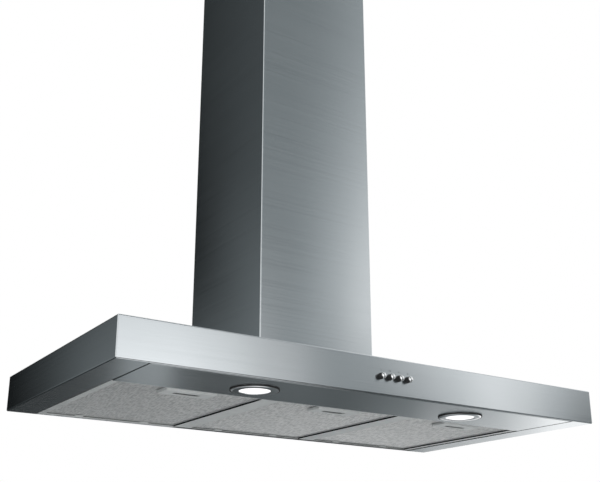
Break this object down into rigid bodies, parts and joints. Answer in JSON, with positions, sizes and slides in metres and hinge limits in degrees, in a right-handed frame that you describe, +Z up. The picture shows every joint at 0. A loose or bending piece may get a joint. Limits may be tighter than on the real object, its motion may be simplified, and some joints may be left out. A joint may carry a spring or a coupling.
{
  "type": "chimney range hood",
  "caption": "Wall-hung cooker hood: flat box canopy with push buttons, lamps and drop-down mesh filters, a centrifugal blower above it and a telescopic chimney.",
  "frame": {"origin": "on the wall plane, midway between the two keyholes that the hood hangs from, 300 mm above the canopy's underside", "axes": "+X to the right seen from the room, +Y into the wall, +Z up"},
  "size_m": [0.9, 0.4595, 0.9912],
  "materials": {
    "stainless": "brushed lengthwise",
    "galvanised": "dull zinc-coated sheet",
    "aluminium": "mill finish",
    "chrome": "polished",
    "steel": "bright turned steel",
    "frosted_glass": "frosted",
    "clear_glass": "clear",
    "grey_plastic": "moulded",
    "dark_plastic": "moulded",
    "white_plastic": "moulded",
    "black_rubber": "matt"
  },
  "bodies": {
    "hood": {"canopy_shell": "stainless", "back_panel": "galvanised", "lamp_panel": "stainless", "filter_support_frame": "stainless", "switch_bank": "dark_plastic", "terminal_box": "white_plastic", "terminal_box_lid": "white_plastic", "terminal_block": "dark_plastic", "motor_capacitor": "white_plastic", "lamp_transformer": "white_plastic", "mains_cable_grommet": "black_rubber", "lamp_lead_left": "black_rubber", "lamp_lead_right": "black_rubber", "switch_loom": "black_rubber", "motor_lead": "black_rubber", "blower_box": "galvanised", "blower_box_cover": "galvanised", "scroll_left": "grey_plastic", "scroll_right": "grey_plastic", "motor": "galvanised", "motor_bracket": "galvanised", "outlet_collar": "grey_plastic", "damper_pin": "steel", "chimney_lower": "stainless", "lamp_bezel_left": "chrome", "lamp_glass_left": "frosted_glass", "lamp_can_left": "aluminium", "lamp_bulb_left": "clear_glass", "chimney_base_screw_left": "steel", "lamp_bezel_right": "chrome", "lamp_glass_right": "frosted_glass", "lamp_can_right": "aluminium", "lamp_bulb_right": "clear_glass", "chimney_base_screw_right": "steel"},
    "fan_wheel": {"impeller": "dark_plastic", "motor_shaft": "steel"},
    "front_flap": {"damper_flap_front": "grey_plastic"},
    "rear_flap": {"damper_flap_rear": "grey_plastic"},
    "telescope": {"chimney_upper": "stainless", "chimney_wall_bracket": "galvanised", "chimney_bracket_screw_left": "steel", "chimney_bracket_screw_right": "steel"},
    "push_button_1": {"button_1": "chrome"},
    "push_button_2": {"button_2": "chrome"},
    "push_button_3": {"button_3": "chrome"},
    "push_button_4": {"button_4": "chrome"},
    "filter_left": {"filter_frame_left": "aluminium", "filter_mesh_left": "aluminium", "filter_handle_left": "aluminium"},
    "latch_left": {"filter_latch_left": "aluminium"},
    "filter_middle": {"filter_frame_middle": "aluminium", "filter_mesh_middle": "aluminium", "filter_handle_middle": "aluminium"},
    "latch_middle": {"filter_latch_middle": "aluminium"},
    "filter_right": {"filter_frame_right": "aluminium", "filter_mesh_right": "aluminium", "filter_handle_right": "aluminium"},
    "latch_right": {"filter_latch_right": "aluminium"}
  },
  "joints": [
    {"name": "fan_spin", "type": "hinge", "parent": "hood", "child": "fan_wheel", "pos_m": [0, -0.1, -0.125], "axis": [1, 0, 0], "continuous": true},
    {"name": "front_flap_open", "type": "hinge", "parent": "hood", "child": "front_flap", "pos_m": [0, -0.1375, 0.0473], "axis": [-1, 0, 0], "range_deg": [0, 72]},
    {"name": "rear_flap_open", "type": "hinge", "parent": "hood", "child": "rear_flap", "pos_m": [0, -0.1375, 0.0473], "axis": [1, 0, 0], "range_deg": [0, 72]},
    {"name": "button_1_press", "type": "slide", "parent": "hood", "child": "push_button_1", "axis": [0, 1, 0], "range_m": [0, 0.003], "stiffness_N_per_m": 300, "springref_m": -0.002},
    {"name": "button_2_press", "type": "slide", "parent": "hood", "child": "push_button_2", "axis": [0, 1, 0], "range_m": [0, 0.003], "stiffness_N_per_m": 300, "springref_m": -0.002},
    {"name": "button_3_press", "type": "slide", "parent": "hood", "child": "push_button_3", "axis": [0, 1, 0], "range_m": [0, 0.003], "stiffness_N_per_m": 300, "springref_m": -0.002},
    {"name": "button_4_press", "type": "slide", "parent": "hood", "child": "push_button_4", "axis": [0, 1, 0], "range_m": [0, 0.003], "stiffness_N_per_m": 300, "springref_m": -0.002},
    {"name": "filter_left_drop", "type": "hinge", "parent": "hood", "child": "filter_left", "pos_m": [-0.2695, -0.007, -0.2972], "axis": [1, 0, 0], "range_deg": [0, 50]},
    {"name": "latch_left_slide", "type": "slide", "parent": "filter_left", "child": "latch_left", "axis": [0, 1, 0], "range_m": [0, 0.0045], "stiffness_N_per_m": 400, "springref_m": -0.002},
    {"name": "filter_middle_drop", "type": "hinge", "parent": "hood", "child": "filter_middle", "pos_m": [0, -0.007, -0.2972], "axis": [1, 0, 0], "range_deg": [0, 50]},
    {"name": "latch_middle_slide", "type": "slide", "parent": "filter_middle", "child": "latch_middle", "axis": [0, 1, 0], "range_m": [0, 0.0045], "stiffness_N_per_m": 400, "springref_m": -0.002},
    {"name": "filter_right_drop", "type": "hinge", "parent": "hood", "child": "filter_right", "pos_m": [0.2695, -0.007, -0.2972], "axis": [1, 0, 0], "range_deg": [0, 50]},
    {"name": "latch_right_slide", "type": "slide", "parent": "filter_right", "child": "latch_right", "axis": [0, 1, 0], "range_m": [0, 0.0045], "stiffness_N_per_m": 400, "springref_m": -0.002},
    {"name": "chimney_extend", "type": "slide", "parent": "hood", "child": "telescope", "axis": [0, 0, 1], "range_m": [0, 0.4]}
  ]
}
